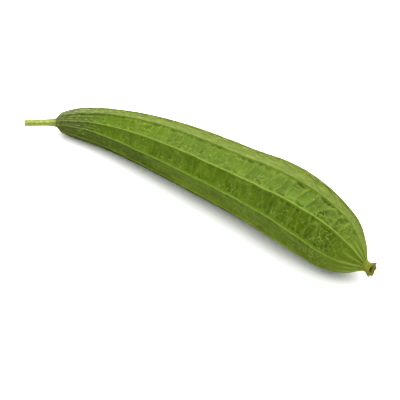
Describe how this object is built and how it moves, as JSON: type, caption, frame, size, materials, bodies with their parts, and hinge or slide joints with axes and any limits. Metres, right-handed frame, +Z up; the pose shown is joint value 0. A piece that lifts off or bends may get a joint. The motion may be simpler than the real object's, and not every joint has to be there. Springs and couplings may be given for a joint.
{
  "type": "ridge gourd",
  "caption": "Long club-shaped green ridge gourd lying on its side, with sharp lengthwise ridges, a short cut stem and a dried flower scar.",
  "frame": {"origin": "on the surface that the gourd lies on, under the middle of its bounding box", "axes": "+X along the gourd from its stem towards its flower end, +Z up, -Y towards the inside of its bend"},
  "size_m": [0.3559, 0.0642, 0.061],
  "materials": {
    "skin": "satin waxy green rind with pale ridge crests and raised cross veins",
    "stem": "fresh yellow-green stalk with blunt lengthwise angles and a paler cut end",
    "dried_flower": "dull olive collar that browns at its ragged rim and sunken centre"
  },
  "bodies": {
    "root": {"fruit": "skin", "stem": "stem", "flower_scar": "dried_flower"}
  },
  "joints": []
}
